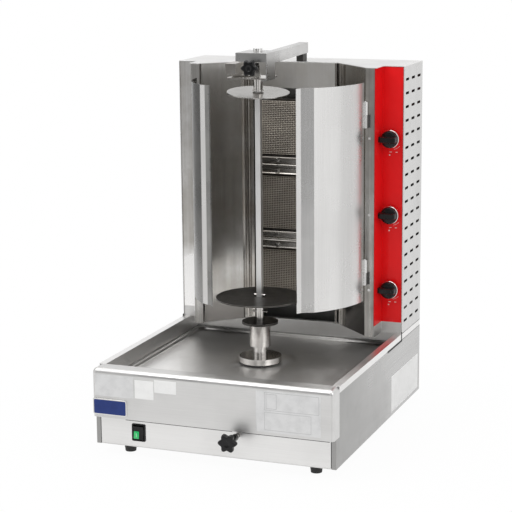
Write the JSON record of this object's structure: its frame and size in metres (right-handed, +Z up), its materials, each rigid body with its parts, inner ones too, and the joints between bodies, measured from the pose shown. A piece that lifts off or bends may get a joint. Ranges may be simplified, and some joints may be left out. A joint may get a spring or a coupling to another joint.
{
  "type": "gas rotisserie oven",
  "caption": "Countertop gas rotisserie oven with vertical spit, drip tray base, upright burner cabinet, curved heat doors and top bearing arm.",
  "frame": {"origin": "floor level under the feet, centre of the plan box", "axes": "+Z up, -Y the front with the drip tray and switch, +X to the operator's right (red control panel)"},
  "size_m": [0.55, 0.72, 0.867],
  "materials": {
    "stainless": "brushed stainless steel sheet, directional grain, satin",
    "polished_stainless": "bright bar and turned stainless steel, fine turning marks",
    "dark_stainless": "heat-tinted stainless steel, slightly mirror-like, smoky",
    "red_enamel": "smooth glossy red enamel on sheet steel",
    "black_steel": "dark grey coated steel, satin, slight wear",
    "black_plastic": "moulded black phenolic plastic, fine satin",
    "green_lens": "translucent green moulded switch lens, glossy",
    "rubber": "black moulded rubber, matt",
    "ceramic": "matt drilled ceramic burner plaque, cream grey",
    "mesh_steel": "woven heat-resistant steel mesh, oxidised brown grey",
    "brass": "machined brass, satin",
    "cast_aluminium": "cast aluminium gearbox housing, fine grain"
  },
  "bodies": {
    "frame": {"arm_foot": "black_steel", "base_back_panel": "stainless", "base_bottom_panel": "stainless", "base_front_panel": "stainless", "base_side_left": "stainless", "base_side_right": "stainless", "burner_bars": "dark_stainless", "burner_bolts": "polished_stainless", "burner_housings": "black_steel", "burner_meshes": "mesh_steel", "burner_plaques": "ceramic", "cabinet_back": "stainless", "cabinet_side_left": "stainless", "cabinet_side_right": "stainless", "cable_gland": "black_plastic", "carriage_rails": "stainless", "drip_pan": "stainless", "fascia_left": "stainless", "fascia_right": "red_enamel", "fascia_sills": "stainless", "feet": "rubber", "front_apron": "stainless", "gas_inlet": "brass", "gas_manifold": "stainless", "gas_valves": "brass", "hinge_leaves": "polished_stainless", "hinge_posts": "stainless", "inner_walls": "dark_stainless", "panel_screws": "polished_stainless", "switch_frame": "black_plastic", "top_arm": "stainless", "top_cover": "stainless", "tray_surround": "stainless", "upper_deflector": "stainless", "wall_channels": "polished_stainless"},
    "door_right": {"door_right": "stainless"},
    "door_left": {"door_left": "stainless"},
    "carriage": {"motor_carriage": "stainless", "gear_motor": "cast_aluminium", "adjusting_rod": "polished_stainless"},
    "spit": {"drive_shaft": "polished_stainless", "seal_ring": "rubber", "base_disc": "polished_stainless", "drive_hub": "polished_stainless", "lower_disc": "black_steel", "lower_sleeve": "polished_stainless", "meat_disc": "black_steel", "spit_rod": "polished_stainless", "retaining_pin": "polished_stainless", "top_disc": "polished_stainless", "top_bush": "polished_stainless"},
    "front_knob": {"front_star_knob": "black_plastic"},
    "slider": {"bearing_slider": "stainless", "latch_pin": "polished_stainless"},
    "latch": {"latch_bar": "stainless"},
    "top_knob": {"top_star_knob": "black_plastic"},
    "dial_top": {"control_knob_top": "black_plastic"},
    "dial_middle": {"control_knob_middle": "black_plastic"},
    "dial_bottom": {"control_knob_bottom": "black_plastic"},
    "rocker": {"switch_rocker": "green_lens"}
  },
  "joints": [
    {"name": "door_right_hinge", "type": "hinge", "parent": "frame", "child": "door_right", "pos_m": [0.203, 0.125, 0.5], "axis": [0, 0, 1], "range_deg": [0, 95]},
    {"name": "door_left_hinge", "type": "hinge", "parent": "frame", "child": "door_left", "pos_m": [-0.203, 0.125, 0.5], "axis": [0, 0, -1], "range_deg": [0, 95]},
    {"name": "carriage_slide", "type": "slide", "parent": "frame", "child": "carriage", "axis": [0, 1, 0], "range_m": [0, 0.012]},
    {"name": "spit_spin", "type": "hinge", "parent": "carriage", "child": "spit", "pos_m": [0, -0.012, 0.2], "axis": [0, 0, 1], "continuous": true},
    {"name": "front_knob_turn", "type": "hinge", "parent": "carriage", "child": "front_knob", "pos_m": [0.056, -0.35, 0.077], "axis": [0, 1, 0], "range_deg": [0, 270]},
    {"name": "slider_slide", "type": "slide", "parent": "frame", "child": "slider", "axis": [0, 1, 0], "range_m": [0, 0.012]},
    {"name": "latch_swing", "type": "hinge", "parent": "slider", "child": "latch", "pos_m": [-0.045, 0.006, 0.82], "axis": [0, 0, -1], "range_deg": [0, 80]},
    {"name": "top_knob_turn", "type": "hinge", "parent": "slider", "child": "top_knob", "pos_m": [0.004, -0.07, 0.829], "axis": [0, 1, 0], "range_deg": [0, 270]},
    {"name": "dial_bottom_turn", "type": "hinge", "parent": "frame", "child": "dial_bottom", "pos_m": [0.2465, 0.18, 0.304], "axis": [0, -1, 0], "range_deg": [0, 180]},
    {"name": "dial_middle_turn", "type": "hinge", "parent": "frame", "child": "dial_middle", "pos_m": [0.2465, 0.18, 0.4785], "axis": [0, -1, 0], "range_deg": [0, 180]},
    {"name": "dial_top_turn", "type": "hinge", "parent": "frame", "child": "dial_top", "pos_m": [0.2465, 0.18, 0.653], "axis": [0, -1, 0], "range_deg": [0, 180]},
    {"name": "rocker_tilt", "type": "hinge", "parent": "frame", "child": "rocker", "pos_m": [-0.174, -0.292, 0.0585], "axis": [1, 0, 0], "range_deg": [-8, 8]}
  ],
  "couplings": [
    {"joint": "slider_slide", "follows": "carriage_slide", "ratio": 1}
  ]
}
